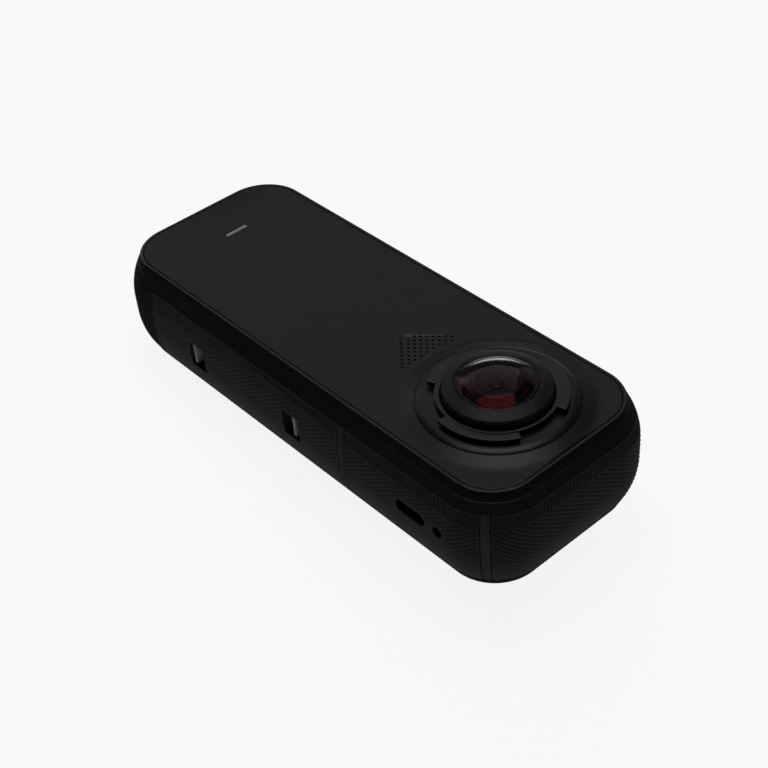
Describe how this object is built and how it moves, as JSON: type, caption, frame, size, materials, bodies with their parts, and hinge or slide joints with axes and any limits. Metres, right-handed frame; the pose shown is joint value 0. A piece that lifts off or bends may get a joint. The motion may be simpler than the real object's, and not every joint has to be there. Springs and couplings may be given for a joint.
{
  "type": "action camera",
  "caption": "Pocket action camera: a long rounded body with a domed lens in a bayonet ring on each face, ribbed grip sides, a slide-out battery, a rear screen and press buttons.",
  "frame": {"origin": "middle of the outline in X and Y, at the height of the rear dome's apex, the lowest point as the camera lies on its back", "axes": "+Z out of the front cover, +Y along the body to the lens end, +X out of the battery side"},
  "size_m": [0.0504, 0.129, 0.04],
  "materials": {
    "cover_satin": "satin moulded polycarbonate",
    "bezel_gloss": "gloss moulded black",
    "frame_satin": "satin black painted die casting",
    "grip_rubber": "ribbed soft-touch elastomer",
    "lens_metal": "black anodised, fine turned",
    "dome_glass": "coated optical glass",
    "screen_glass": "black-backed cover glass",
    "display": "display module",
    "seal_rubber": "moulded silicone",
    "button_satin": "fine-textured moulded",
    "latch_plastic": "moulded grey",
    "battery_casing": "fine-textured moulded",
    "bay_plastic": "moulded glass-filled nylon",
    "gold_plate": "gold plated",
    "circuit_board": "solder-masked laminate",
    "chip_epoxy": "moulded epoxy",
    "steel": "stamped and turned",
    "spreader_aluminium": "plain rolled",
    "flex_ribbon": "polyimide film",
    "light_pipe": "diffusing translucent white"
  },
  "bodies": {
    "camera_body": {"battery_bay": "bay_plastic", "board_chips": "chip_epoxy", "board_screws": "steel", "button_switches": "steel", "card_slot": "bay_plastic", "contact_block": "bay_plastic", "display_flex": "flex_ribbon", "display_panel": "display", "front_bayonet_flange": "lens_metal", "front_bezel": "bezel_gloss", "front_cover": "cover_satin", "front_image_sensor": "circuit_board", "front_inner_lenses": "dome_glass", "front_lens_barrel": "lens_metal", "front_lens_seat": "bezel_gloss", "grille_mesh": "steel", "heat_spreader": "spreader_aluminium", "housing_frame": "frame_satin", "led_window": "light_pipe", "main_board": "circuit_board", "memory_card": "chip_epoxy", "microphones": "chip_epoxy", "rear_bayonet_flange": "lens_metal", "rear_bezel": "bezel_gloss", "rear_cover": "cover_satin", "rear_image_sensor": "circuit_board", "rear_inner_lenses": "dome_glass", "rear_lens_barrel": "lens_metal", "rear_lens_seat": "bezel_gloss", "sensor_flexes": "flex_ribbon", "side_grip_battery_side": "grip_rubber", "side_grip_button_side": "grip_rubber", "side_grip_lens_end": "grip_rubber", "side_switch_board": "circuit_board", "speaker": "bay_plastic", "touchscreen_glass": "screen_glass", "tripod_insert": "steel", "usb_board": "circuit_board", "usb_socket": "steel", "wireless_antenna": "flex_ribbon"},
    "battery": {"battery_door": "grip_rubber", "battery_pack": "battery_casing", "battery_seal": "seal_rubber", "battery_terminals": "gold_plate", "latch_springs": "steel"},
    "lower_latch": {"lower_battery_latch": "latch_plastic"},
    "upper_latch": {"upper_battery_latch": "latch_plastic"},
    "shutter_key": {"shutter_button": "button_satin"},
    "lens_key": {"lens_button": "button_satin"},
    "power_key": {"power_button": "button_satin"},
    "quick_key": {"quick_button": "button_satin"},
    "front_lens": {"front_lens_grip_ring": "lens_metal", "front_dome_glass": "dome_glass", "front_dome_seal": "seal_rubber"},
    "rear_lens": {"rear_lens_grip_ring": "lens_metal", "rear_dome_glass": "dome_glass", "rear_dome_seal": "seal_rubber"}
  },
  "joints": [
    {"name": "battery_slide", "type": "slide", "parent": "camera_body", "child": "battery", "axis": [1, 0, 0], "range_m": [0, 0.037]},
    {"name": "lower_latch_slide", "type": "slide", "parent": "battery", "child": "lower_latch", "axis": [0, 1, 0], "range_m": [0, 0.002], "stiffness_N_per_m": 400, "springref_m": -0.001},
    {"name": "upper_latch_slide", "type": "slide", "parent": "battery", "child": "upper_latch", "axis": [0, -1, 0], "range_m": [0, 0.002], "stiffness_N_per_m": 400, "springref_m": -0.001},
    {"name": "shutter_press", "type": "slide", "parent": "camera_body", "child": "shutter_key", "axis": [0, 0, 1], "range_m": [0, 0.0004], "stiffness_N_per_m": 3000, "springref_m": -0.0002},
    {"name": "lens_key_press", "type": "slide", "parent": "camera_body", "child": "lens_key", "axis": [0, 0, 1], "range_m": [0, 0.0004], "stiffness_N_per_m": 3000, "springref_m": -0.0002},
    {"name": "power_press", "type": "slide", "parent": "camera_body", "child": "power_key", "axis": [1, 0, 0], "range_m": [0, 0.00035], "stiffness_N_per_m": 3000, "springref_m": -0.0002},
    {"name": "quick_press", "type": "slide", "parent": "camera_body", "child": "quick_key", "axis": [1, 0, 0], "range_m": [0, 0.00035], "stiffness_N_per_m": 3000, "springref_m": -0.0002},
    {"name": "front_lens_twist", "type": "hinge", "parent": "camera_body", "child": "front_lens", "pos_m": [0, 0.0408, 0.0367], "axis": [0, 0, 1], "range_deg": [0, 25]},
    {"name": "rear_lens_twist", "type": "hinge", "parent": "camera_body", "child": "rear_lens", "pos_m": [0, 0.0408, 0.0033], "axis": [0, 0, -1], "range_deg": [0, 25]}
  ]
}
